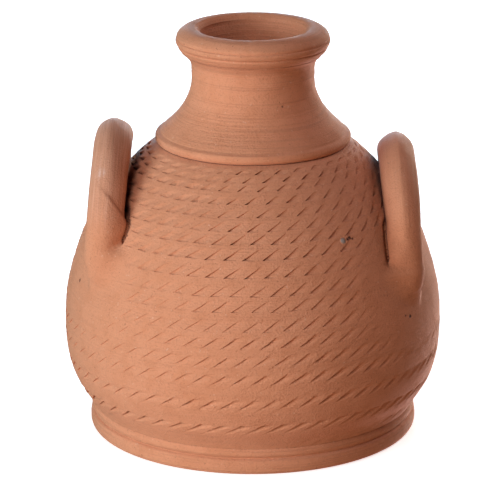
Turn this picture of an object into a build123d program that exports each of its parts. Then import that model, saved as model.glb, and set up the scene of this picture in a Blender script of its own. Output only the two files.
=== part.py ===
from build123d import *

import os

# Small unglazed terracotta amphora, in millimetres: a squat jar turned on a foot band, with a wide belly, a
# flared neck above a collar, a rolled lip, and two upright coil handles luted to the shoulder. +Z is up, the
# jar's axis is Z, the handles stand at -X and +X, and the origin is the centre of the foot's ground face.

# ---- driving dimensions ------------------------------------------------------------------------------------
HEIGHT = 85.0  # ground to the top of the lip

# foot band and floor
FOOT_R = 34.15  # widest radius of the lower band
FOOT_BAND_Z = 3.5  # height of the lower band
FOOT_TOP_Z = 5.5  # top of the foot, where the belly wall starts
FOOT_STEP = 0.3  # how far the upper band is set back
FOOT_ROUND = 0.7  # rounding of the edge that meets the ground
FLOOR_R = 30.4  # radius of the floor disc, and inside radius of the foot band
FLOOR_RECESS = 0.4  # clearance between the floor's underside and the ground
FLOOR_TOP_Z = 4.4

# belly: outside points as (radius, height), from the foot to the collar
BELLY = [(33.7, FOOT_TOP_Z), (37.8, 12.1), (39.4, 23.0), (37.4, 35.9), (30.2, 50.8), (25.2, 56.3), (20.2, 60.4)]
WALL = 3.0  # thickness of the belly wall
INSIDE_SHARES = (0.2, 0.4, 0.6, 0.8)  # places along the outside where that thickness is set
BELLY_MOUTH_R = 16.4  # inside radius at the top of the belly wall
SHOULDER_Z = 31.0  # the wall is called the belly below this height and the shoulder above it

# collar and neck
COLLAR_R = 20.3
COLLAR_Z = 62.0  # height of the collar's widest line
COLLAR_BEAD = 1.0  # half the height of the collar's rounded edge
NECK = [(16.95, 65.5), (14.1, 69.0), (12.7, 73.5), (12.9, 77.4)]  # outside points above the collar
BORE_R = 10.5  # straight bore of the neck, which takes a stopper
BORE_LOW_Z = 67.0
BORE_HIGH_Z = 81.0

# lip
LIP_SEAT_R = 13.6  # the lip starts here, on top of the neck
LIP_SEAT_Z = 79.4
LIP_R = 15.75  # widest radius
LIP_WIDE_Z = 82.2
LIP_CREST_R = 12.4  # radius of the highest circle
LIP_EDGE_R = 11.0  # inner edge, where the lip turns down into the mouth
LIP_EDGE_Z = 83.8

# handles: a coil bent to a half ring whose ends run a little way down the belly
ROD_R = 3.6
LEG_LENGTH = 5.0
HANDLES = {
    "left": {"side": -1, "foot_x": 30.4, "top_x": 28.7, "spread": 18.3, "top_z": 61.3},
    "right": {"side": 1, "foot_x": 31.2, "top_x": 29.7, "spread": 18.1, "top_z": 58.1},
}

# luting pads: clay thumbed round each end of a coil
PAD_R = 4.7
PAD_HALF_LENGTH = 8.5
PAD_DROP = 3.0  # centre of a pad, below the centre of the half ring


# ---- helpers -----------------------------------------------------------------------------------------------
def lathe(*edges):
    """The solid turned from a closed outline of edges, drawn flat as (radius, height)."""
    return revolve(Plane.XZ * make_face(edges), axis=Axis.Z)


def straight(*points):
    """Straight edges through points given as (radius, height)."""
    return [Line(a, b) for a, b in zip(points, points[1:])]


def belly_outside():
    return Spline(*BELLY)


def belly_inside():
    """The belly's inner outline, one wall inside the outer one, from the floor to the collar."""
    outside = belly_outside()
    points = [(FLOOR_R, FOOT_TOP_Z)]
    for share in INSIDE_SHARES:
        here, along = outside @ share, outside % share
        points.append((here.X - WALL * along.Y, here.Y + WALL * along.X))
    points.append((BELLY_MOUTH_R, BELLY[-1][1]))
    return Spline(*points)


def belly_form():
    """The belly's outside as one filled solid, which trims the handles and pads to the wall."""
    bottom, top = BELLY[0], BELLY[-1]
    return lathe(belly_outside(), *straight(top, (0, top[1]), (0, bottom[1]), bottom))


def largest(shape):
    """The biggest solid of a trimmed shape, without crumbs."""
    return max(shape.solids(), key=lambda solid: solid.volume)


# ---- turned parts ------------------------------------------------------------------------------------------
def make_floor_disc():
    disc = Cylinder(FLOOR_R, FLOOR_TOP_Z - FLOOR_RECESS, align=(Align.CENTER, Align.CENTER, Align.MIN))
    return Pos(0, 0, FLOOR_RECESS) * disc


def make_foot_ring():
    ground_r = FOOT_R - FOOT_ROUND
    ground_edge = RadiusArc((ground_r, 0), (FOOT_R, FOOT_ROUND), -FOOT_ROUND)
    outline = straight(
        (FOOT_R, FOOT_ROUND),
        (FOOT_R, FOOT_BAND_Z),
        (FOOT_R - FOOT_STEP, FOOT_BAND_Z + FOOT_STEP),
        BELLY[0],
        (FLOOR_R, FOOT_TOP_Z),
        (FLOOR_R, 0),
        (ground_r, 0),
    )
    return lathe(ground_edge, *outline)


def make_belly_and_shoulder():
    """The wall from the foot to the collar, divided level at the start of the shoulder."""
    bottom = straight((FLOOR_R, FOOT_TOP_Z), BELLY[0])
    top = straight(BELLY[-1], (BELLY_MOUTH_R, BELLY[-1][1]))
    wall = lathe(belly_outside(), belly_inside(), *bottom, *top)
    level = Plane.XY.offset(SHOULDER_Z)
    return split(wall, bisect_by=level, keep=Keep.BOTTOM), split(wall, bisect_by=level, keep=Keep.TOP)


def make_neck_collar():
    seat_z = BELLY[-1][1]
    bead_r = COLLAR_R - COLLAR_BEAD
    bead_low, bead_high = (bead_r, COLLAR_Z - COLLAR_BEAD), (bead_r, COLLAR_Z + COLLAR_BEAD)
    bead = ThreePointArc(bead_low, (COLLAR_R, COLLAR_Z), bead_high)
    outside = Spline(bead_high, *NECK, (LIP_SEAT_R, LIP_SEAT_Z))
    outline = straight(
        (LIP_SEAT_R, LIP_SEAT_Z),
        (BORE_R, LIP_SEAT_Z),
        (BORE_R, BORE_LOW_Z),
        (BELLY_MOUTH_R, seat_z),
        (bead_r, seat_z),
        bead_low,
    )
    return lathe(bead, outside, *outline)


def make_lip():
    seat, crest, edge = (LIP_SEAT_R, LIP_SEAT_Z), (LIP_CREST_R, HEIGHT), (LIP_EDGE_R, LIP_EDGE_Z)
    outside = Spline(seat, (LIP_R, LIP_WIDE_Z), crest, tangents=[(1, 0.6), (-1, 0)])
    inside = Spline(crest, edge, tangents=[(-1, 0), (0, -1)])
    return lathe(outside, inside, *straight(edge, (BORE_R, BORE_HIGH_Z), (BORE_R, LIP_SEAT_Z), seat))


# ---- handles and pads --------------------------------------------------------------------------------------
def handle_coil(side, foot_x, top_x, spread, top_z):
    """The untrimmed coil: a leg, a half ring and a leg, in a plane that leans towards the neck."""
    centre_z = top_z - spread
    lean = (foot_x - top_x) / spread

    def point(y, z):
        return (side * (foot_x - lean * (z - centre_z)), y, z)

    front_end, front = point(-spread, centre_z - LEG_LENGTH), point(-spread, centre_z)
    back_end, back = point(spread, centre_z - LEG_LENGTH), point(spread, centre_z)
    path = Wire([Line(front_end, front), ThreePointArc(front, point(0, top_z), back), Line(back, back_end)])
    return sweep(Plane(front_end, z_dir=path % 0) * Circle(ROD_R), path=path)


def pad_blank(side, foot_x, top_x, spread, top_z, end):
    """The untrimmed egg of clay round one end of a coil; end is -1 for the front and 1 for the back."""
    half_egg = make_face(
        [
            EllipticalCenterArc((0, 0), PAD_R, PAD_HALF_LENGTH, start_angle=-90, arc_size=180),
            Line((0, PAD_HALF_LENGTH), (0, -PAD_HALF_LENGTH)),
        ]
    )
    egg = revolve(Plane.XZ * half_egg, axis=Axis.Z)
    return Pos(side * foot_x, end * spread, top_z - spread - PAD_DROP) * egg


def make_parts():
    belly, shoulder = make_belly_and_shoulder()
    parts = {
        "floor_disc": make_floor_disc(),
        "foot_ring": make_foot_ring(),
        "belly_wall": belly,
        "shoulder_wall": shoulder,
        "neck_collar": make_neck_collar(),
        "lip": make_lip(),
    }
    form = belly_form()
    for name, sizes in HANDLES.items():
        handle = largest(handle_coil(**sizes) - form)
        parts[f"handle_{name}"] = handle
        for place, end in (("front", -1), ("back", 1)):
            parts[f"luting_pad_{name}_{place}"] = largest(pad_blank(**sizes, end=end) - form - handle)
    return parts


os.makedirs("parts", exist_ok=True)
for node, shape in make_parts().items():
    export_step(shape, f"parts/{node}.step")
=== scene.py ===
import math

import bmesh
import bpy
import numpy as np
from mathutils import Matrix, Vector


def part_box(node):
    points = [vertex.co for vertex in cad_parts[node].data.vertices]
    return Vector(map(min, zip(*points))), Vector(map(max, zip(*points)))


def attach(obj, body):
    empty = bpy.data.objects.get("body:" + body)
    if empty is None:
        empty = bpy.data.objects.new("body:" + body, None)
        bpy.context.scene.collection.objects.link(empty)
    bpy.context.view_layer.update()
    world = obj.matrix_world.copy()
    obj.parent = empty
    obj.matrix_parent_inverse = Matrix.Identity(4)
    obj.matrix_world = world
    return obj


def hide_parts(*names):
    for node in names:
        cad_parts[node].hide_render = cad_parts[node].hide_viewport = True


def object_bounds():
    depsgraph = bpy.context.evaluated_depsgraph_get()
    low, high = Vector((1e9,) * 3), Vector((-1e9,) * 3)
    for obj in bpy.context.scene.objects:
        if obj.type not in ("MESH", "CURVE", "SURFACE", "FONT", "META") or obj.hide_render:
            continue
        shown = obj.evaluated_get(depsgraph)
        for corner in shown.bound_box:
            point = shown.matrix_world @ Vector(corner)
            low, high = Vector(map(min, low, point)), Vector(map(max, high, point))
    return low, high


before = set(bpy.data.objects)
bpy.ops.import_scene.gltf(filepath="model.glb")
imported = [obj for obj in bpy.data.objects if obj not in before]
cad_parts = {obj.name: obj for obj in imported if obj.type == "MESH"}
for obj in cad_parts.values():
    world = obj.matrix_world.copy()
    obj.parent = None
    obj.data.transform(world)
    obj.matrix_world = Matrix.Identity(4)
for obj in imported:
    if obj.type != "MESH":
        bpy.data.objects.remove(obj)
cad_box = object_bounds()

# Looks of a small unglazed terracotta amphora. Lengths in this script are millimetres until make_mesh() turns
# them into metres. Angles round the jar are radians from the front (-Y), positive towards +X.

MM = 0.001
HEIGHT = cad_box[1].z / MM
BELLY_R = cad_box[1].x / MM
COLLAR_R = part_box("neck_collar")[1].x / MM
LIP_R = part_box("lip")[1].x / MM
FOOT_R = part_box("foot_ring")[1].x / MM
FOOT_TOP_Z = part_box("foot_ring")[1].z / MM
FLOOR_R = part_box("floor_disc")[1].x / MM
FLOOR_LOW_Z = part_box("floor_disc")[0].z / MM
FLOOR_TOP_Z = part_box("floor_disc")[1].z / MM
SEAT_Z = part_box("neck_collar")[0].z / MM  # the neck stands on the shoulder here
LIP_SEAT_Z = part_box("lip")[0].z / MM
BORE_R = 10.5  # inside radius of the neck
WELL_R = 16.4  # inside radius where the neck stands on the shoulder
COLLAR_Z = SEAT_Z + 1.6  # widest line of the collar


# ---- numbers, curves and noise -----------------------------------------------------------------------------
def smooth(low, high, value):
    """0 at low and 1 at high, level beyond them, with a smooth passage between; low may be above high."""
    t = np.clip((value - low) / (high - low), 0.0, 1.0)
    return t * t * (3.0 - 2.0 * t)


def natural_spline(points, count):
    """count points along a natural cubic spline through the points, evenly spaced."""
    p = np.array(points, float)
    t = np.concatenate([[0.0], np.cumsum(np.hypot(*np.diff(p, axis=0).T))])
    h = np.diff(t)
    n = len(p)
    a = np.eye(n)
    b = np.zeros((n, 2))
    for i in range(1, n - 1):
        a[i, i - 1 : i + 2] = h[i - 1], 2.0 * (h[i - 1] + h[i]), h[i]
        b[i] = 6.0 * ((p[i + 1] - p[i]) / h[i] - (p[i] - p[i - 1]) / h[i - 1])
    m = np.linalg.solve(a, b)

    def at(u):
        i = np.clip(np.searchsorted(t, u, side="right") - 1, 0, n - 2)
        left, right = (t[i + 1] - u)[:, None], (u - t[i])[:, None]
        span = h[i][:, None]
        curve = (m[i] * left**3 + m[i + 1] * right**3) / (6.0 * span)
        line = (p[i] / span - m[i] * span / 6.0) * left + (p[i + 1] / span - m[i + 1] * span / 6.0) * right
        return curve + line

    dense = at(np.linspace(0.0, t[-1], 40 * n))
    return spaced(dense, count)


def spaced(points, count):
    """count evenly spaced points along a polyline."""
    p = np.array(points, float)
    s = np.concatenate([[0.0], np.cumsum(np.linalg.norm(np.diff(p, axis=0), axis=1))])
    u = np.linspace(0.0, s[-1], count)
    return np.stack([np.interp(u, s, p[:, k]) for k in range(p.shape[1])], axis=1)


def rounded(points, count, cut=0.35):
    """count points along a polyline whose corners have been cut twice, which leaves them softly rounded."""
    p = np.array(points, float)
    for share in (cut, 0.25):
        first = p[:-1] + share * (p[1:] - p[:-1])
        second = p[1:] - share * (p[1:] - p[:-1])
        inner = np.stack([first, second], axis=1).reshape(-1, p.shape[1])
        p = np.vstack([p[:1], inner[1:-1], p[-1:]])
    return spaced(p, count)


def lattice(i, j, k, seed):
    """A fixed random number from 0 to 1 for each corner of an integer lattice."""
    n = (i * 73856093) ^ (j * 19349663) ^ (k * 83492791) ^ (seed * 2654435761)
    n = (n ^ (n >> 13)) * 1274126177
    n = (n ^ (n >> 16)) & 0xFFFFFF
    return n / float(0xFFFFFF)


def noise(x, y, z, seed):
    """Smooth noise from -1 to 1 with features about one unit across."""
    x, y, z = np.broadcast_arrays(x, y, z)
    xi, yi, zi = (np.floor(v).astype(np.int64) for v in (x, y, z))
    fx, fy, fz = x - xi, y - yi, z - zi
    fx, fy, fz = (f * f * (3.0 - 2.0 * f) for f in (fx, fy, fz))
    total = 0.0
    for a in (0, 1):
        for b in (0, 1):
            for c in (0, 1):
                weight = (fx if a else 1 - fx) * (fy if b else 1 - fy) * (fz if c else 1 - fz)
                total = total + weight * lattice(xi + a, yi + b, zi + c, seed)
    return 2.0 * total - 1.0


def turned(theta, r, z):
    """Points at an angle, radius and height, as an array of x, y, z."""
    return np.stack([r * np.sin(theta), -r * np.cos(theta), z + 0.0 * theta], axis=-1)


def hand_wobble(theta, z):
    """How far the thrown form strays from the CAD's true circle, the same for every part of the jar.

    It is never above 0, which helps to keep the looks inside the CAD's box.
    """
    oval = 0.055 * np.cos(2.0 * theta + 0.06 * z)
    three_lobed = 0.035 * np.cos(3.0 * theta - 0.09 * z + 1.3)
    return oval + three_lobed - 0.11


# ---- meshes ------------------------------------------------------------------------------------------------
def make_mesh(name, points, faces):
    """A smooth-shaded object from points in millimetres; points that no face uses are dropped."""
    mesh = bpy.data.meshes.new(name)
    mesh.from_pydata((np.asarray(points).reshape(-1, 3) * MM).tolist(), [], faces)
    mesh.validate()
    form = bmesh.new()
    form.from_mesh(mesh)
    bmesh.ops.delete(form, geom=[v for v in form.verts if not v.link_faces], context="VERTS")
    bmesh.ops.recalc_face_normals(form, faces=form.faces)
    form.to_mesh(mesh)
    form.free()
    mesh.polygons.foreach_set("use_smooth", np.ones(len(mesh.polygons), bool))
    mesh.update()
    piece = bpy.data.objects.new(name, mesh)
    bpy.context.scene.collection.objects.link(piece)
    return piece


def ring_faces(first, second, columns, shift=0):
    """Quads between two rings of vertices; shift turns the second ring by that many columns."""
    j = np.arange(columns)
    k = (j + 1) % columns
    quads = [first + j, first + k, second + (k + shift) % columns, second + (j + shift) % columns]
    return np.stack(quads, axis=1).tolist()


def fan_faces(first, columns, centre):
    """Triangles from a ring of vertices to the vertex in its middle."""
    j = np.arange(columns)
    return np.stack([first + j, first + (j + 1) % columns, centre + 0 * j], axis=1).tolist()


def tube_faces(rows, columns, closed):
    """Quads of a grid whose columns wrap round, and whose rows wrap too where closed."""
    faces = []
    for i in range(rows if closed else rows - 1):
        faces += ring_faces(i * columns, ((i + 1) % rows) * columns, columns)
    return faces


def finish_piece(piece, slot, material, *nodes):
    """Hang a piece on the root, give it its material and hide the CAD parts that it takes the place of."""
    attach(piece, "root")
    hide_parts(*nodes)
    piece.data.materials.append(material)
    return piece


def lathe_piece(name, outline, columns, lines):
    """A closed turned piece. lines(theta, r, z) gives how far its skin is raised by wheel marks."""
    theta = np.linspace(0.0, 2.0 * math.pi, columns, endpoint=False)[None, :]
    r, z = outline[:, :1], outline[:, 1:]
    away = np.gradient(outline, axis=0)
    length = np.hypot(away[:, :1], away[:, 1:]) + 1e-9
    raised = lines(theta, r, z)
    rr = r + hand_wobble(theta, z) * smooth(4.0, 10.0, r) + raised * away[:, 1:] / length
    zz = z - raised * away[:, :1] / length
    return make_mesh(name, turned(theta, rr, zz), tube_faces(len(outline), columns, closed=True))


# ---- belly and shoulder ------------------------------------------------------------------------------------
BELLY_OUTSIDE = [
    (34.0, FOOT_TOP_Z),
    (34.75, 6.8),
    (36.25, 9.1),
    (37.9, 12.4),
    (39.25, 18.6),
    (BELLY_R, 23.6),
    (39.1, 28.4),
    (37.35, 35.9),
    (34.2, 44.2),
    (30.3, 50.6),
    (25.9, 55.7),
    (22.5, 59.0),
    (21.0, 60.2),
]
BELLY_TOP = [(20.3, 60.6), (19.8, 60.8), (19.2, 60.95), (17.5, 60.9)]
BELLY_INSIDE = [
    (WELL_R, SEAT_Z),
    (21.3, 56.4),
    (29.3, 46.7),
    (34.5, 35.3),
    (36.4, 22.9),
    (34.0, 10.7),
    (FLOOR_R, FOOT_TOP_Z),
]
BELLY_COLUMNS = 440
INSIDE_ROWS = 12
SHARP_EDGE = math.radians(32.0)  # faces that meet at more than this keep a crisp edge between them

# rolled stamp marks: heights of the rows' lower edges at the front, from the foot to the collar
ROW_Z = [4.2, 9.9, 15.7, 21.0, 24.8, 28.6, 31.9, 35.6, 38.6]
ROW_Z += [42.0, 45.3, 48.0, 50.3, 52.6, 54.8, 56.9, 58.3, 59.6]
MARK_PITCH = 4.0  # from one mark to the next along its row
MARK_SLANT = math.radians(34.0)
MARK_LENGTH = 2.5  # from the steep edge to where the floor has risen back to the surface
MARK_HEIGHT = 2.1
MARK_DEPTH = 0.40
BURR = 0.035  # how far clay stands up beside a steep edge
STEEP = 0.07  # half the width of a steep edge
# grid rows between two rows of marks: as shares of the marks' height, then as shares of the plain band above
MARK_LEVELS = [-0.045, 0.02, 0.16, 0.32, 0.48, 0.64, 0.80, 0.96, 1.04]
PLAIN_LEVELS = [0.33, 0.67]
MID_MARK = MARK_LEVELS.index(0.48)

# where the handles' clay was thumbed down the marks are smeared away: angle, distance up the wall, half sizes
SMEARS = [
    (-1.12, 33.5, 0.34, 12.0),
    (1.11, 31.5, 0.46, 14.0),
    (-2.12, 33.5, 0.34, 12.0),
    (2.09, 31.5, 0.36, 13.0),
]


def wall_line():
    """The belly's outside as points (r, z), how far along it each one is, and its outward normals."""
    p = natural_spline(BELLY_OUTSIDE, 1200)
    s = np.concatenate([[0.0], np.cumsum(np.hypot(*np.diff(p, axis=0).T))])
    along = np.gradient(p, axis=0)
    along /= np.hypot(along[:, 0], along[:, 1])[:, None]
    return p, s, np.stack([along[:, 1], -along[:, 0]], axis=1)


def wall_dents(theta, r, z):
    """Shallow unevenness of the thrown wall."""
    return 0.05 * noise(r * np.sin(theta) / 9.0, r * np.cos(theta) / 9.0, z / 7.0, 51)


def smear_free(theta, s):
    """1 where the stamp marks are untouched, 0 where a thumb has smoothed them away."""
    free = np.ones(np.broadcast(theta, s).shape)
    for angle, middle, wide, tall in SMEARS:
        away = (theta - angle + math.pi) % (2.0 * math.pi) - math.pi
        edge = 0.12 * noise(theta * 6.0, s * 0.15, 0.0, 11)
        reach = np.hypot(away / wide, (s - middle) / tall) + edge
        free = np.minimum(free, smooth(0.85, 1.25, reach))
    return free


def mark_edge(index):
    """Where along the spiral the steep edge of a mark stands."""
    return index * MARK_PITCH + 0.22 * noise(index * 0.731 + 0.37, 1.7, 0.5, 31)


def mark_index(place):
    """The last mark whose steep edge is before a place along the spiral."""
    index = np.floor(place / MARK_PITCH)
    return np.where(place < mark_edge(index), index - 1.0, index)


def mark_depth(theta, s, path, levels, index, across, upward, marked, burr):
    """How deep the rolled marks are, which is below 0 where clay stands up beside a steep edge.

    levels are heights within a mark from 0 to 1, and across is the distance from its steep edge. upward is
    how far the wall faces up. marked says where the marks are, and burr where the clay beside an edge is.
    """
    luck, strength = (noise(index * 0.731 + 0.37, 1.7, 0.5, seed) for seed in (32, 33))
    level = np.clip(levels, 0.0, 1.0)
    length = MARK_LENGTH * (1.0 + 0.15 * luck)
    bearing = np.sin(theta)
    rightward, leftward = smooth(0.1, 0.6, bearing), smooth(-0.05, -0.6, bearing)

    # low on the belly a mark is deepest at its top, in the middle halfway up, and on the shoulder at its foot
    reach = np.clip(across / (length * (0.55 + 0.6 * level)), 0.0, 1.0)
    low = (0.08 + 0.92 * level**0.7) * (1.0 - reach**1.9)
    middle = (0.06 + 0.94 * np.sin(math.pi * level)) * (1.0 - reach**1.5)
    shoulder = (1.0 - 0.85 * level) * np.clip(1.0 - across / (length * (1.0 - 0.3 * level)), 0.0, 1.0)
    shoulder = shoulder * (1.0 - 0.6 * rightward * smooth(0.30, 0.0, level))
    # leftwards the roller dug in with the marks' lower edge instead of their side
    share = across / length
    scoop = (1.2 + 0.6 * smooth(0.55, 0.75, upward)) * (1.0 - 0.9 * level) * smooth(0.0, 0.35, share)
    scoop = scoop * np.clip(1.0 - share**2, 0.0, 1.0)
    shoulder = shoulder + (scoop - shoulder) * 0.85 * leftward
    on_shoulder = smooth(-0.05, 0.50, upward)
    higher = on_shoulder * shoulder + (1.0 - on_shoulder) * middle
    form = low + (higher - low) * smooth(6.0, 13.0, s)

    # it bit harder at the right of the front than at the left, and hardest in the lowest rows
    faint_rows = smooth(38.0, 28.0, s) * smooth(2.0, 14.0, s)
    bite = 1.0 + 0.35 * rightward - 0.50 * smooth(-0.1, -0.8, bearing) * faint_rows
    bite = bite * (1.0 + 0.75 * smooth(16.0, 6.0, s))
    press = 1.0 + 0.25 * strength + 0.30 * noise(path * 0.11, 0.0, 0.0, 41)
    return (MARK_DEPTH * bite * form * marked - BURR * burr) * press


def stamp_grid():
    """The stamped wall's grid as angles, distances along the wall and depths of the marks.

    Its rows climb with the spiral of marks and its columns lean with them, so a row's last column meets the
    first of the same row one turn up. The columns beside a mark's steep edge are drawn in to keep it crisp.
    """
    line, along, normal = wall_line()
    row_s = np.interp(ROW_Z, line[:, 1], along)
    row_s = np.concatenate([[row_s[0] - 12.0, row_s[0] - 6.0], row_s, row_s[-1] + [1.7, 3.4, 5.1]])
    turns = np.arange(len(row_s)) - 2.0
    row_r = np.interp(row_s, along, line[:, 0])
    rolled = np.concatenate([[0.0], np.cumsum(math.pi * (row_r[1:] + row_r[:-1]))])

    step = 2.0 * math.pi / BELLY_COLUMNS
    lean = np.cumsum(np.gradient(along) / line[:, 0]) / math.tan(MARK_SLANT)
    shift = round((lean[-1] - lean[0]) / step)
    lean = (lean - lean[0]) * shift * step / (lean[-1] - lean[0])
    column = (np.arange(BELLY_COLUMNS) * step - math.pi)[None, None, :]
    ribbon = np.arange(-2.0, len(ROW_Z) + 1.0)[:, None, None]
    levels = np.array(MARK_LEVELS + PLAIN_LEVELS)[None, :, None]
    in_mark = np.arange(levels.size)[None, :, None] < len(MARK_LEVELS)
    s = np.interp(ribbon + 0.0 * (column + levels), turns, row_s)
    for _ in range(6):
        theta = column + np.interp(s, along, lean)
        turn = ribbon + theta / (2.0 * math.pi)
        base = np.interp(turn, turns, row_s)
        gap = np.interp(turn + 1.0, turns, row_s) - base
        upward = np.interp(base, along, normal[:, 1])
        height = np.minimum(MARK_HEIGHT * (1.0 - 0.45 * smooth(0.50, 0.78, upward)), 0.8 * gap)
        low_level, high_level = MARK_LEVELS[0], MARK_LEVELS[-1]
        plain = high_level * height + levels * (gap - (high_level - low_level) * height)
        above = np.where(in_mark, levels * height, plain)
        path = np.interp(turn, turns, rolled)
        s = base + above + 0.10 * noise(path * 0.35, 0.0, 0.0, 21)

    # place along the spiral, measured on the marks' slant
    slanted = path - above / math.tan(MARK_SLANT)
    index = mark_index(slanted[:, MID_MARK, :])
    after = np.append(index.ravel()[1:], index[-1, -1]).reshape(index.shape)
    before = np.insert(index.ravel()[:-1], 0, index[0, 0]).reshape(index.shape)
    last, first = (after > index)[:, None, :] & in_mark, (before < index)[:, None, :] & in_mark
    index = index[:, None, :] + 0.0 * levels
    edge = mark_edge(index)
    goal = np.where(last, mark_edge(index + 1.0) - STEEP, np.where(first, edge + STEEP, slanted))
    theta = theta + (goal - slanted) / np.interp(s, along, line[:, 0])
    across = np.maximum(goal - edge, 0.0)

    marked = in_mark & (levels > 0.0) & (levels < 1.0) & ~last
    burr = last & (levels < 1.0)
    depth = mark_depth(theta, s, path, levels, index, across, upward, marked, burr)
    depth = depth * smear_free(theta, s) * smooth(0.0, 0.4, ribbon + theta / (2.0 * math.pi))
    rows = theta.shape[0] * theta.shape[1]
    return theta.reshape(rows, -1), s.reshape(rows, -1), depth.reshape(rows, -1), levels.size, shift


def make_belly(material, coils):
    """The stamped wall from the foot to the collar, with the clay luted round the handles' legs."""
    line, along, normal = wall_line()
    theta, s, depth, turn_rows, shift = stamp_grid()
    step = 2.0 * math.pi / BELLY_COLUMNS
    top = along[-1]
    # rows that start below the foot or end above the collar are drawn to the wall's ends
    theta = np.where(s <= 0.0, np.arange(BELLY_COLUMNS) * step - math.pi, theta)
    theta = np.where(s >= top, (np.arange(BELLY_COLUMNS) + shift) * step - math.pi, theta)
    depth = np.where((s <= 0.0) | (s >= top), 0.0, depth)
    s = np.clip(s, 0.0, top)
    r, z = np.interp(s, along, line[:, 0]), np.interp(s, along, line[:, 1])
    n_r, n_z = np.interp(s, along, normal[:, 0]), np.interp(s, along, normal[:, 1])
    grain = 0.010 * noise(r * np.sin(theta) / 0.7, r * np.cos(theta) / 0.7, z / 0.7, 52)
    wheel = 0.018 * noise(theta * 0.6, 0.0, s / 0.55, 53)
    raised = wall_dents(theta, r, z)
    skin = turned(theta, r + hand_wobble(theta, z) + raised * n_r, z + raised * n_z)
    out = turned(theta, n_r, n_z)
    lift = np.zeros(theta.shape)
    for coil in coils:
        lift += coil_lift(coil, skin, out)
    raised = lift + grain + wheel - depth * smooth(0.20, 0.02, np.abs(lift))
    outside = skin + raised[..., None] * out

    # one vertex where a whole run of a column has been drawn to the same end
    rows = len(s)
    index = np.arange(rows * BELLY_COLUMNS).reshape(rows, BELLY_COLUMNS)
    low_row = np.maximum(np.argmax(s > 0.0, axis=0) - 1, 0)
    high_row = rows - 1 - np.maximum(np.argmax(s[::-1] < top, axis=0) - 1, 0)
    columns = np.arange(BELLY_COLUMNS)
    level = np.clip(np.arange(rows)[:, None], low_row, high_row)
    index = index[level, columns]
    faces = []
    for k in range(rows - 1):
        upper = min(k + turn_rows, rows - 1), min(k + 1 + turn_rows, rows - 1)
        a, b = index[k], np.append(index[k][1:], index[upper[0]][0])
        c, d = np.append(index[k + 1][1:], index[upper[1]][0]), index[k + 1]
        for quad in np.stack([a, b, c, d], axis=1)[(a != d) | (b != c)].tolist():
            corners = list(dict.fromkeys(quad))
            if len(corners) > 2:
                faces.append(corners)

    rest = np.vstack([BELLY_TOP, natural_spline(BELLY_INSIDE, INSIDE_ROWS)])
    angle = (columns * step - math.pi)[None, :]
    inside = turned(angle, rest[:, :1] + hand_wobble(angle, rest[:, 1:]), rest[:, 1:])
    points = np.concatenate([outside, inside])
    ring = [rows * BELLY_COLUMNS + i * BELLY_COLUMNS + columns for i in range(len(rest))]
    rings = [np.roll(index[-1], shift)] + ring + [index[0]]
    for first, second in zip(rings, rings[1:]):
        quads = [first, np.roll(first, -1), np.roll(second, -1), second]
        faces += np.stack(quads, axis=1).tolist()
    piece = make_mesh("belly", points, faces)
    piece.data.set_sharp_from_angle(angle=SHARP_EDGE)
    return finish_piece(piece, "thrown_clay", material, "belly_wall", "shoulder_wall")


# ---- neck, lip, foot and floor -----------------------------------------------------------------------------
def wheel_lines(depth, pitch, seed):
    """Fine rings left by the wheel: height of the skin as a function of place."""

    def lines(theta, r, z):
        along = z + 0.6 * r
        fine = noise(theta * 0.5, 0.0, along / pitch, seed)
        coarse = noise(theta * 0.3, 4.0, along / (3.7 * pitch), seed + 1)
        grain = noise(r * np.sin(theta) / 0.6, r * np.cos(theta) / 0.6, z / 0.6, seed + 2)
        return depth * (0.6 * fine + 0.4 * coarse) + 0.010 * grain

    return lines


def make_neck(material):
    """The collar's rounded edge, the flare above it and the bore."""
    bead = [
        (18.9, SEAT_Z),
        (19.5, SEAT_Z + 0.35),
        (20.1, SEAT_Z + 0.8),
        (COLLAR_R, COLLAR_Z),
        (20.2, COLLAR_Z + 0.55),
        (19.85, COLLAR_Z + 0.85),
        (19.45, COLLAR_Z + 0.98),
        (19.25, COLLAR_Z + 1.15),
        (19.0, COLLAR_Z + 1.5),
    ]
    flare = [
        (19.0, COLLAR_Z + 1.5),
        (17.9, 64.55),
        (16.4, 66.05),
        (14.7, 68.25),
        (13.4, 70.8),
        (12.75, 73.6),
        (12.75, 75.8),
        (13.05, 77.9),
        (14.3, LIP_SEAT_Z),
    ]
    bore = [(BORE_R, LIP_SEAT_Z), (BORE_R, 67.0), (12.4, 64.6), (WELL_R, SEAT_Z)]
    outline = np.vstack([rounded(bead, 26), natural_spline(flare, 130)[1:], bore])
    piece = lathe_piece("neck_collar", outline, 288, wheel_lines(0.07, 0.42, 61))
    return finish_piece(piece, "thrown_clay", material, "neck_collar")


def make_lip(material):
    """The rolled lip, with two turned grooves on its outside."""
    outside = [
        (13.6, LIP_SEAT_Z - 0.5),
        (14.28, LIP_SEAT_Z + 0.02),
        (14.9, 79.95),
        (15.35, 80.6),
        (15.55, 80.95),
        (15.35, 81.1),
        (15.35, 81.2),
        (15.72, 81.32),
        (15.95, 81.75),
        (LIP_R + 0.28, 82.3),
        (LIP_R + 0.2, 82.5),
        (15.72, 82.62),
        (15.72, 82.7),
        (15.92, 82.82),
        (15.75, 83.4),
        (15.25, 84.0),
        (14.4, 84.6),
        (13.4, 84.93),
        (12.5, HEIGHT - 0.06),
        (11.9, 84.85),
        (11.4, 84.4),
        (11.12, 83.95),
        (10.98, 83.7),
    ]
    inside = [(10.98, 83.7), (11.1, 83.4), (10.9, 82.7), (10.6, 81.8), (BORE_R, 81.0), (BORE_R, LIP_SEAT_Z)]
    outline = np.vstack([rounded(outside, 130), rounded(inside, 24)[1:]])
    piece = lathe_piece("lip", outline, 288, wheel_lines(0.06, 0.38, 71))
    return finish_piece(piece, "thrown_clay", material, "lip")


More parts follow.
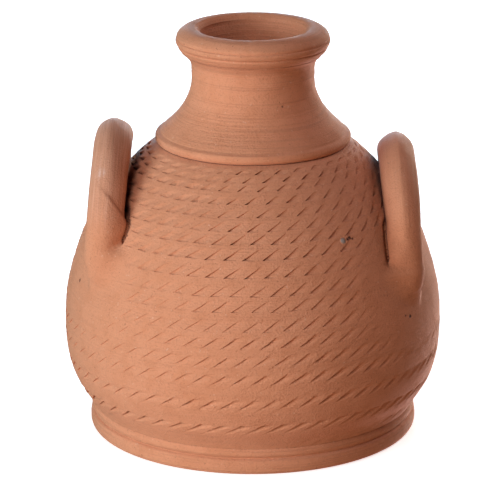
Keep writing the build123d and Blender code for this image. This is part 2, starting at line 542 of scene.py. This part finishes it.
def make_foot(material):
    """The foot band, with a groove below its upper bead."""
    outline = [
        (33.6, 0.03),
        (34.15, 0.12),
        (FOOT_R + 0.28, 0.7),
        (FOOT_R + 0.32, 1.6),
        (FOOT_R + 0.25, 2.5),
        (FOOT_R + 0.1, 3.05),
        (FOOT_R - 0.3, 3.25),
        (FOOT_R - 0.5, 3.38),
        (FOOT_R - 0.24, 3.6),
        (FOOT_R + 0.06, 4.1),
        (FOOT_R + 0.02, 4.8),
        (FOOT_R - 0.12, 5.25),
        (FOOT_R - 0.3, 5.55),
        (33.1, 5.6),
    ]
    inside = [(32.0, FOOT_TOP_Z), (FLOOR_R, FOOT_TOP_Z), (FLOOR_R, 0.5), (FLOOR_R + 0.35, 0.08), (32.0, 0.03)]
    line = np.vstack([rounded(outline, 60), inside])
    piece = lathe_piece("foot_ring", line, 360, wheel_lines(0.05, 0.5, 81))
    return finish_piece(piece, "thrown_clay", material, "foot_ring")


def make_floor(material):
    """The floor, with a shallow throwing spiral inside and a wire-cut face below."""
    rings, columns = 80, 160
    theta = np.linspace(0.0, 2.0 * math.pi, columns, endpoint=False)[None, :]
    first_r, gap = 0.3, 0.02  # radius of the innermost ring, and clearance to the foot ring
    r = np.linspace(first_r, FLOOR_R - gap, rings)[:, None] + 0.0 * theta
    edge = smooth(FLOOR_R - 0.1, FLOOR_R - 2.0, r)
    spiral = 0.5 + 0.5 * np.cos(2.0 * math.pi * r / 6.5 - theta)
    top = FLOOR_TOP_Z - 0.4 * spiral * smooth(1.0, 6.0, r) * edge
    # arcs of the cutting wire, all about a point outside the foot
    pulled = np.hypot(r * np.sin(theta) + 46.0, r * np.cos(theta) - 22.0)
    arcs = noise(pulled / 1.3, 0.0, 3.0, 91) + 0.5 * noise(pulled / 0.5, 0.0, 5.0, 92)
    under = FLOOR_LOW_Z + (0.12 + 0.07 * arcs) * edge
    # from the middle of the underside out to the wall, up, and in to the middle of the top
    skin = np.concatenate([turned(theta, r, under), turned(theta, r, top)[::-1]]).reshape(-1, 3)
    points = np.vstack([skin, (0.0, 0.0, under[0].mean()), (0.0, 0.0, top[0].mean())])
    faces = tube_faces(2 * rings, columns, closed=False)
    faces += fan_faces(0, columns, len(skin)) + fan_faces(len(skin) - columns, columns, len(skin) + 1)
    return finish_piece(make_mesh("floor_disc", points, faces), "thrown_clay", material, "floor_disc")


# ---- handles -----------------------------------------------------------------------------------------------
ROD_R = 3.6  # radius of the CAD's coils
COIL_LENGTH = 80.0  # about how long a coil is along its centre line
EMBED = 2.2  # how deep a handle's hidden side reaches into the wall
LEG_DROP = 10.8  # how far a leg runs down below the middle of the ring
LEG_DRIFT = 2.0  # how far a leg's tip has moved round the wall, away from the other leg's side of it
LEG_DEPTH = 1.4  # deepest that a leg's centre line lies under the wall's skin
REACH = 8.4  # farthest that a handle's skin is looked for from the coil's centre line
REACH_STEPS = np.arange(0.15, REACH, 0.12)
CRACK_DEPTH = 0.9
LIFT_STEPS = np.arange(0.0, 3.01, 0.15)  # heights at which the clay luted round a leg is looked for

# foot_x and top_x are how far the centre line is from the jar's axis at the middle and the top of the ring.
# sag is how far the top has sunk, and top_r and foot_r are the coil's radii. bulges are swellings as (height,
# angle round the coil, size). ridge is the strength of the pinched ridge round the ring's outside, cover how
# thick the clay thumbed up over the front end is, and crevice_z the height where the gap beside a leg closes.
HANDLES = {
    "left": {
        "side": -1,
        "foot_x": 30.45,
        "top_x": 28.9,
        "sag": 0.3,
        "top_r": 3.72,
        "foot_r": 3.68,
        "bulges": [(47.5, -1.35, 0.75), (60.8, -1.2, 0.4)],
        "ridge": 0.25,
        "cover": 0.34,
        "crevice_z": 44.8,
    },
    "right": {
        "side": 1,
        "foot_x": 31.2,
        "top_x": 29.75,
        "sag": 0.2,
        "top_r": 3.78,
        "foot_r": 3.52,
        "bulges": [(44.2, -1.35, 1.1), (41.2, -0.8, 1.5), (58.9, -1.1, 0.35)],
        "ridge": 1.0,
        "cover": 0.0,
        "crevice_z": 41.0,
    },
}
HANDLE_STEPS, HANDLE_COLUMNS = 220, 120


def wall_distance(points):
    """Distance outside the wall's skin, without its stamp marks."""
    line, _, normal = wall_line()
    x, y, z = np.moveaxis(points, -1, 0)
    theta = np.arctan2(x, -y)
    thrown = np.interp(z, line[:, 1], line[:, 0])
    steep = np.interp(z, line[:, 1], normal[:, 0])
    return (np.hypot(x, y) - thrown - hand_wobble(theta, z)) * steep - wall_dents(theta, thrown, z)


def handle_path(side, foot_x, top_x, spread, top_z, steps):
    """The coil's centre line from its front end to its back end."""
    centre_z = top_z - spread
    lean = (foot_x - top_x) / spread
    angle = np.linspace(0.0, math.pi, 181)
    ring = np.stack([-spread * np.cos(angle), centre_z + spread * np.sin(angle)], axis=1)
    drop = np.linspace(LEG_DROP, 0.0, 40)[:-1]
    leg = np.stack([-spread + 0.0 * drop, centre_z - drop], axis=1)
    flat = np.vstack([leg, ring, (leg * [-1, 1])[::-1]])
    x = foot_x - lean * np.maximum(flat[:, 1] - centre_z, -2.0)
    path = np.column_stack([side * x, flat])
    drift = LEG_DRIFT * (np.maximum(centre_z - path[:, 2], 0.0) / LEG_DROP) ** 2
    path[:, 0] += side * drift * spread / math.hypot(spread, foot_x)
    path[:, 1] -= np.sign(path[:, 1]) * drift * foot_x / math.hypot(spread, foot_x)
    deep = np.maximum(-wall_distance(path) - LEG_DEPTH, 0.0)
    path[:, :2] *= (1.0 + deep / np.hypot(path[:, 0], path[:, 1]))[:, None]
    return spaced(path, steps)


def make_coil(name, side, foot_x, top_x, sag, **measures):
    """A handle's centre line, the two directions square to it at each step, and its measures."""
    low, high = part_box(f"handle_{name}")
    spread, top_z = (high.y - low.y) / MM / 2.0 - ROD_R, high.z / MM - ROD_R
    path = handle_path(side, foot_x, top_x, spread, top_z, HANDLE_STEPS)
    path[:, 2] -= sag * smooth(top_z - spread, top_z, path[:, 2])
    along = np.gradient(path, axis=0)
    along /= np.linalg.norm(along, axis=1)[:, None]
    away = np.array([side, 0.0, 0.0])[None, :] - along * (along[:, :1] * side)
    away /= np.linalg.norm(away, axis=1)[:, None]
    return {
        "name": name,
        "side": side,
        "path": path,
        "away": away,
        "outward": np.cross(away, along) * side,
        "centre_z": top_z - spread,
        "top_z": top_z,
        **measures,
    }


def coil_radius(coil, step, phi):
    """Radius of a coil at a step of its centre line and an angle round it.

    The angle phi is 0 at the ring's outside and grows towards the side that faces away from the jar.
    """
    side, centre_z = coil["side"], coil["centre_z"]
    z = coil["path"][step, 2]
    front = coil["path"][step, 1] < 0.0
    run = step * COIL_LENGTH / HANDLE_STEPS
    size = coil["foot_r"] + (coil["top_r"] - coil["foot_r"]) * smooth(centre_z, coil["top_z"], z)
    end = smooth(centre_z - LEG_DROP, centre_z - 0.5, z)
    crest = 0.20 * np.exp(-((phi / 0.28) ** 2))
    flanks = 0.12 * np.exp(-(((np.abs(phi) - 0.85) / 0.4) ** 2))
    section = coil["ridge"] * smooth(centre_z, centre_z + 6.0, z) * (crest - flanks)
    bare = smooth(centre_z + 4.0, centre_z + 9.0, z)
    streaks = 0.035 * noise(phi * 8.0, run / 14.0, 0.0, 101 + side) * bare
    lumps = 0.10 * noise(np.cos(phi) * 0.9, np.sin(phi) * 0.9, run / 6.0, 103 + side)
    # clay thumbed up over the coil's end stops in a slanting edge, highest on the outer face
    edge_z = centre_z + 9.6 + 2.6 * np.clip(phi, -1.5, 1.5)
    cover = coil["cover"] * smooth(0.30, -0.30, z - edge_z) * smooth(1.0, -0.4, phi) * front
    squeezed = 0.0
    for bulge_z, bulge_phi, amount in coil["bulges"]:
        squeezed = squeezed + amount * np.exp(-(((z - bulge_z) / 2.4) ** 2) - ((phi - bulge_phi) / 0.6) ** 2)
    tip = 0.3  # radius at a leg's end
    return tip + (size - tip + section + cover + squeezed + lumps) * end + streaks


def joined(coil, rod, wall, points):
    """The field of coil and wall luted together, and whose clay it is: -1 the coil's, 1 the wall's."""
    z = points[..., 2]
    spread = np.abs(coil["path"][0, 1])
    foot = np.abs(coil["path"][0, 0])
    toward = (np.abs(points[..., 1]) - spread) * foot - (np.abs(points[..., 0]) - foot) * spread
    inner = smooth(-1.5, 1.5, toward / math.hypot(spread, foot))
    tip_z = coil["centre_z"] - LEG_DROP
    wide = (2.0 + 3.2 * inner) * (0.25 + 0.75 * smooth(tip_z, tip_z + 6.0, z))
    closed = smooth(coil["crevice_z"] + 0.9 + 2.5 * (1.0 - inner), coil["crevice_z"] - 2.6, z)
    soft = 0.14 + (wide - 0.14) * closed
    meet = np.maximum(soft - np.abs(rod - wall), 0.0)
    return np.minimum(rod, wall) - meet * meet / (4.0 * soft), (rod - wall) / soft


def coil_lift(coil, skin, out):
    """How far the wall's skin is raised by the clay luted round a coil's legs."""
    lift = np.zeros(skin.shape[:-1])
    legs = np.flatnonzero(coil["path"][:, 2] < coil["crevice_z"] + 6.0)
    for leg in (legs[coil["path"][legs, 1] < 0.0], legs[coil["path"][legs, 1] > 0.0]):
        low, high = coil["path"][leg].min(axis=0) - REACH, coil["path"][leg].max(axis=0) + REACH
        near = np.all((skin > low) & (skin < high), axis=-1)
        points = skin[near][:, None, :] + LIFT_STEPS[None, :, None] * out[near][:, None, :]
        far = np.full(points.shape[:-1], np.inf)
        step = np.zeros(points.shape[:-1], int)
        for i in leg:
            there = np.linalg.norm(points - coil["path"][i], axis=-1)
            step = np.where(there < far, i, step)
            far = np.minimum(there, far)
        arm = points - coil["path"][step]
        phi = np.arctan2((arm * coil["away"][step]).sum(axis=-1), (arm * coil["outward"][step]).sum(axis=-1))
        rod = far - coil_radius(coil, step, phi)
        field, owner = joined(coil, rod, LIFT_STEPS, points)
        # where the clay is the coil's, the wall's skin dives under it
        field = field - 0.015 + 0.05 * smooth(0.8, -0.4, owner) + 0.6 * smooth(-0.3, -1.0, owner)
        raised = first_zero(field, LIFT_STEPS)
        # the unbonded edge of the coil leaves a narrow crack above the place where it is thumbed down
        z, open_z = skin[near][:, 2], coil["crevice_z"]
        crack = smooth(open_z - 0.6, open_z + 0.8, z) * smooth(open_z + 9.0, open_z + 6.0, z)
        raised -= CRACK_DEPTH * crack * np.exp(-(((rod[:, 0] - 0.2) / 0.48) ** 2))
        lift[near] = np.where(np.abs(raised) > np.abs(lift[near]), raised, lift[near])
    return lift


def first_zero(field, at):
    """Where a field sampled along its last axis first rises through zero, or the last place sampled."""
    crossed = field > 0.0
    crossed[..., -1] = True
    first = np.maximum(np.argmax(crossed, axis=-1), 1)
    after = np.take_along_axis(field, first[..., None], axis=-1)[..., 0]
    before = np.take_along_axis(field, first[..., None] - 1, axis=-1)[..., 0]
    share = np.clip(-before / np.maximum(after - before, 1e-6), 0.0, 1.0)
    return at[first - 1] + share * (at[first] - at[first - 1])


def make_handle(coil, material):
    """A coil's skin, looked for along rays from its centre line, with both ends running on into the wall."""
    name, path = coil["name"], coil["path"]
    count = HANDLE_STEPS * HANDLE_COLUMNS
    phi = np.linspace(-math.pi, math.pi, HANDLE_COLUMNS, endpoint=False)[None, :]
    away, outward = coil["away"][:, None, :], coil["outward"][:, None, :]
    rays = outward * np.cos(phi)[..., None] + away * np.sin(phi)[..., None]
    radius = coil_radius(coil, np.arange(HANDLE_STEPS)[:, None], phi)
    points = path[:, None, None, :] + rays[:, :, None, :] * REACH_STEPS[:, None]
    wall = wall_distance(points)
    field, owner = joined(coil, REACH_STEPS - radius[:, :, None], wall, points)
    # where the clay is the wall's, the coil's skin dives under it
    field = field + 0.05 * smooth(-0.4, 0.8, owner) + EMBED * smooth(0.7, 1.6, owner)
    reach = first_zero(np.maximum(field, -(wall + EMBED)), REACH_STEPS)
    skin = path[:, None, :] + rays * reach[..., None]
    points = np.vstack([skin.reshape(-1, 3), path[:1], path[-1:]])
    faces = tube_faces(HANDLE_STEPS, HANDLE_COLUMNS, closed=False)
    faces += fan_faces(0, HANDLE_COLUMNS, count)
    faces += fan_faces(count - HANDLE_COLUMNS, HANDLE_COLUMNS, count + 1)
    piece = make_mesh(f"handle_{name}", points, faces)
    # place on the straightened coil, for the lines drawn along it
    run = np.arange(HANDLE_STEPS)[:, None] * COIL_LENGTH / HANDLE_STEPS
    straight = np.stack(np.broadcast_arrays(ROD_R * np.cos(phi), ROD_R * np.sin(phi), run), axis=-1)
    straight = np.vstack([straight.reshape(-1, 3), np.zeros((2, 3))]) * MM
    piece.data.attributes.new("on_coil", "FLOAT_VECTOR", "POINT").data.foreach_set("vector", straight.ravel())
    pads = [f"luting_pad_{name}_{place}" for place in ("front", "back")]
    return finish_piece(piece, "coil_clay", material, f"handle_{name}", *pads)


# ---- materials ---------------------------------------------------------------------------------------------
CLAY = (0.616, 0.243, 0.129)


def node(tree, kind, inputs=None, **settings):
    """A new node with its settings and inputs; an input that is a socket is linked."""
    made = tree.nodes.new(kind)
    for key, value in settings.items():
        setattr(made, key, value)
    for key, value in (inputs or {}).items():
        if isinstance(value, bpy.types.NodeSocket):
            tree.links.new(value, made.inputs[key])
        else:
            made.inputs[key].default_value = value
    return made


def texture(tree, place, scale, detail=2.0, rough=0.5, stretch=(1.0, 1.0, 1.0)):
    """Noise from 0 to 1; scale is in features per metre."""
    spot = node(tree, "ShaderNodeVectorMath", {0: place, 1: stretch}, operation="MULTIPLY").outputs[0]
    inputs = {"Vector": spot, "Scale": scale, "Detail": detail, "Roughness": rough}
    return node(tree, "ShaderNodeTexNoise", inputs).outputs["Fac"]


def ramp(tree, value, low, high, to_low=0.0, to_high=1.0):
    """to_low where a value is at low and to_high where it is at high, with a smooth passage between."""
    made = node(tree, "ShaderNodeMapRange", {"Value": value, 1: low, 2: high, 3: to_low, 4: to_high})
    made.interpolation_type = "SMOOTHSTEP"
    return made.outputs[0]


def times(tree, first, second):
    return node(tree, "ShaderNodeMath", {0: first, 1: second}, operation="MULTIPLY").outputs[0]


def add_share(tree, value, share, onto):
    """onto plus a share of the value."""
    return node(tree, "ShaderNodeMath", {0: value, 1: share, 2: onto}, operation="MULTIPLY_ADD").outputs[0]


def tinted(tree, colour, factor, tint):
    """A colour drawn towards a tint by a factor from 0 to 1."""
    return node(tree, "ShaderNodeMix", {0: factor, 6: colour, 7: (*tint, 1.0)}, data_type="RGBA").outputs[2]


def blot(tree, place, spot, edge, ragged, outside, inside):
    """1 in a round patch (x, y, z, radius) and 0 round it.

    ragged, outside and inside are shares of the radius: how far the texture called edge frays the rim, and
    where the patch ends and where it is full.
    """
    centre, radius = [measure * MM for measure in spot[:3]], spot[3] * MM
    far = node(tree, "ShaderNodeVectorMath", {0: place, 1: centre}, operation="DISTANCE").outputs["Value"]
    return ramp(tree, add_share(tree, edge, radius * ragged, far), radius * outside, radius * inside)


def clay_material(name, wheel=1.0, streak=0.0, spots=(), chalk=()):
    """Matte unglazed terracotta, with painted shade darkening its crevices.

    wheel is the strength of the turned lines and streak that of lines along an upright coil. spots are small
    blemishes as (x, y, z, radius, rise, colour), and chalk pale scuffs as (x, y, z, radius), in millimetres.
    """
    material = bpy.data.materials.new(name)
    material.use_nodes = True
    tree = material.node_tree
    tree.nodes.clear()
    place = node(tree, "ShaderNodeTexCoord").outputs["Object"]
    cloud = texture(tree, place, 45.0, 3.0)
    mottle = texture(tree, place, 260.0, 5.0, 0.6)
    grain = texture(tree, place, 2400.0, 3.0, 0.7)
    rings = texture(tree, place, 2600.0, 2.0, 0.6, stretch=(0.015, 0.015, 1.0))
    specks = texture(tree, place, 1500.0, 1.0)
    on_coil = node(tree, "ShaderNodeAttribute", attribute_name="on_coil").outputs["Vector"]
    lines = texture(tree, on_coil, 4200.0, 2.0, 0.6, stretch=(1.0, 1.0, 0.02))
    up = node(tree, "ShaderNodeSeparateXYZ", {"Vector": place}).outputs["Z"]
    drawn = ramp(tree, up, 46.0 * MM, 53.0 * MM, 0.0, streak)

    colour = node(tree, "ShaderNodeRGB").outputs[0]
    colour.default_value = (*CLAY, 1.0)
    for factor, tint in (
        (ramp(tree, cloud, 0.35, 0.7, 0.0, 0.30), (0.65, 0.272, 0.156)),
        (ramp(tree, mottle, 0.42, 0.68, 0.0, 0.30), (0.51, 0.178, 0.083)),
        (ramp(tree, grain, 0.50, 0.68, 0.0, 0.40), (0.40, 0.150, 0.080)),
        (ramp(tree, rings, 0.51, 0.66, 0.0, 0.36 * wheel), (0.42, 0.165, 0.090)),
        (ramp(tree, specks, 0.72, 0.76, 0.0, 0.35), (0.72, 0.45, 0.33)),
        (ramp(tree, specks, 0.27, 0.23, 0.0, 0.45), (0.25, 0.085, 0.045)),
        (drawn, (0.66, 0.315, 0.205)),
        (times(tree, ramp(tree, lines, 0.46, 0.64), drawn), (0.40, 0.165, 0.095)),
        (times(tree, ramp(tree, lines, 0.50, 0.36), drawn), (0.70, 0.38, 0.28)),
    ):
        colour = tinted(tree, colour, factor, tint)
    for spot in chalk:
        dust = blot(tree, place, spot, mottle, 2.6, 2.5, 1.4)
        dust = times(tree, dust, ramp(tree, lines, 0.60, 0.42, 0.0, 0.75))
        colour = tinted(tree, colour, dust, (0.74, 0.50, 0.44))

    height = add_share(tree, grain, 1.3, mottle)
    height = add_share(tree, rings, 1.4 * wheel, height)
    height = add_share(tree, lines, drawn, height)
    for *spot, rise, tint in spots:
        patch = blot(tree, place, spot, grain, 0.9, 1.75, 0.9)
        colour = tinted(tree, colour, patch, tint)
        height = add_share(tree, patch, 3.0 * rise, height)
    # painted shade: the colour is drawn towards dark brown where ambient occlusion finds the skin hemmed in,
    # so the deep crevices and corners look shaded
    painted_shade_occlusion = node(tree, "ShaderNodeAmbientOcclusion", {"Distance": 6.0 * MM}, samples=8).outputs["AO"]
    colour = tinted(tree, colour, ramp(tree, painted_shade_occlusion, 0.48, 0.15, 0.0, 0.92), (0.09, 0.022, 0.012))

    relief = {"Strength": 0.8, "Distance": 0.17 * MM, "Height": height}
    look = {
        "Base Color": colour,
        "Roughness": ramp(tree, mottle, 0.3, 0.7, 0.80, 0.92),
        "Normal": node(tree, "ShaderNodeBump", relief).outputs[0],
        "Specular IOR Level": 0.28,
        "Sheen Weight": 0.05,
        "Sheen Roughness": 0.55,
        "Sheen Tint": (1.0, 0.86, 0.80, 1.0),
    }
    shader = node(tree, "ShaderNodeBsdfPrincipled", look)
    node(tree, "ShaderNodeOutputMaterial", {"Surface": shader.outputs[0]})
    return material


# ---- studio ------------------------------------------------------------------------------------------------
def make_studio():
    """A white light table: it shows white to the camera, and the lamps below shine through it."""
    half, z = 3000.0, -0.02
    corners = [(-half, -half, z), (half, -half, z), (half, half, z), (-half, half, z)]
    table = make_mesh("studio_table", corners, [[0, 1, 2, 3]])
    for way in ("diffuse", "glossy", "transmission", "volume_scatter", "shadow"):
        setattr(table, "visible_" + way, False)
    paper = bpy.data.materials.new("studio_paper")
    paper.use_nodes = True
    shader = paper.node_tree.nodes["Principled BSDF"]
    shader.inputs["Base Color"].default_value = (0.93, 0.93, 0.93, 1.0)
    shader.inputs["Roughness"].default_value = 0.9
    shader.inputs["Emission Color"].default_value = (1.0, 1.0, 1.0, 1.0)
    shader.inputs["Emission Strength"].default_value = 0.62
    table.data.materials.append(paper)


# name, bearing from the camera's side and height above the table in degrees, watts, colour
SOFTBOXES = [
    ("key", 300.0, 6.0, 10.0, (0.72, 0.93, 1.0)),
    ("front", 330.0, 35.0, 4.0, (1.0, 0.94, 0.96)),
    ("side", 120.0, 35.0, 3.05, (1.0, 0.75, 0.72)),
    ("rim", 150.0, 6.0, 7.1, (0.9, 1.0, 0.88)),
    ("back", 180.0, 6.0, 14.0, (0.4, 0.76, 1.0)),
    ("low_rim", 150.0, -28.0, 8.3, (1.0, 0.81, 0.8)),
    ("low_front", 0.0, -28.0, 3.6, (1.0, 0.7, 0.5)),
    ("below", 0.0, -90.0, 1.45, (1.0, 0.62, 0.62)),
]


def make_softbox(name, bearing, rise, watts, colour):
    """A round softbox one metre from the jar."""
    lamp = bpy.data.lights.new(name, "AREA")
    lamp.shape = "DISK"
    lamp.size = 0.5
    lamp.energy = watts
    lamp.color = colour
    box = bpy.data.objects.new(name, lamp)
    bpy.context.scene.collection.objects.link(box)
    turn, up = math.radians(bearing), math.radians(rise)
    away = Vector((math.sin(turn) * math.cos(up), -math.cos(turn) * math.cos(up), math.sin(up)))
    box.location = Vector((0.0, 0.0, 40.0 * MM)) + away
    box.rotation_mode = "QUATERNION"
    box.rotation_quaternion = away.to_track_quat("Z", "Y")


def make_camera():
    """The camera looks down a little on the jar from far off, aimed just left of its axis."""
    elevation, distance = math.radians(17.42), 655.0
    aim = Vector((-0.59, 0.0, 0.435 * HEIGHT))
    back = Vector((0.0, -math.cos(elevation), math.sin(elevation)))
    data = bpy.data.cameras.new("camera")
    data.sensor_width = 36.0
    data.lens = 225.5
    data.clip_start, data.clip_end = 0.01, 20.0
    camera = bpy.data.objects.new("camera", data)
    bpy.context.scene.collection.objects.link(camera)
    camera.location = (aim + back * distance) * MM
    camera.rotation_mode = "QUATERNION"
    camera.rotation_quaternion = (-back).to_track_quat("-Z", "Y")
    bpy.context.scene.camera = camera


# ---- the jar -----------------------------------------------------------------------------------------------
def on_wall(theta, z):
    """A point of the wall's skin at an angle and a height."""
    line, _, _ = wall_line()
    return turned(theta, np.interp(z, line[:, 1], line[:, 0]), z)


DARK_PIT = (0.09, 0.03, 0.018)
RED_PIT = (0.22, 0.07, 0.035)
GREY_GRIT = (0.36, 0.31, 0.28)
body_spots = [
    (*on_wall(0.97, 29.8), 0.42, -1.0, DARK_PIT),
    (*on_wall(0.93, 30.3), 0.26, -1.0, RED_PIT),
    (*on_wall(-1.226, 34.5), 0.34, -1.0, RED_PIT),
    (*on_wall(0.628, 47.5), 0.34, -1.0, DARK_PIT),
    (*on_wall(0.645, 47.7), 0.38, -1.0, DARK_PIT),
    (*on_wall(0.665, 47.4), 0.30, -1.0, DARK_PIT),
    (*on_wall(0.590, 47.4), 0.62, 1.0, GREY_GRIT),
]
NECK_PIT_R = 13.2  # radius of the neck where its pits are
neck_spots = [
    (*turned(0.434, NECK_PIT_R, 72.0), 0.26, -1.0, RED_PIT),
    (*turned(0.474, NECK_PIT_R, 71.1), 0.22, -1.0, RED_PIT),
]
coil_scuffs = [(-30.7, -15.0, 57.3, 1.5), (-30.2, -15.8, 55.2, 1.3)]
thrown = clay_material("thrown_terracotta", 1.0, 0.0, neck_spots)
belly_clay = clay_material("stamped_terracotta", 0.45, 0.0, body_spots)
coil_clay = {
    "left": clay_material("streaked_coil_terracotta", 0.0, 0.34, (), coil_scuffs),
    "right": clay_material("coil_terracotta", 0.0, 0.10),
}

coils = [make_coil(name, **sizes) for name, sizes in HANDLES.items()]
make_belly(belly_clay, coils)
make_neck(thrown)
make_lip(thrown)
make_foot(thrown)
make_floor(thrown)
for coil in coils:
    make_handle(coil, coil_clay[coil["name"]])

make_studio()
for softbox in SOFTBOXES:
    make_softbox(*softbox)
make_camera()
bpy.context.scene.view_settings.view_transform = "Standard"
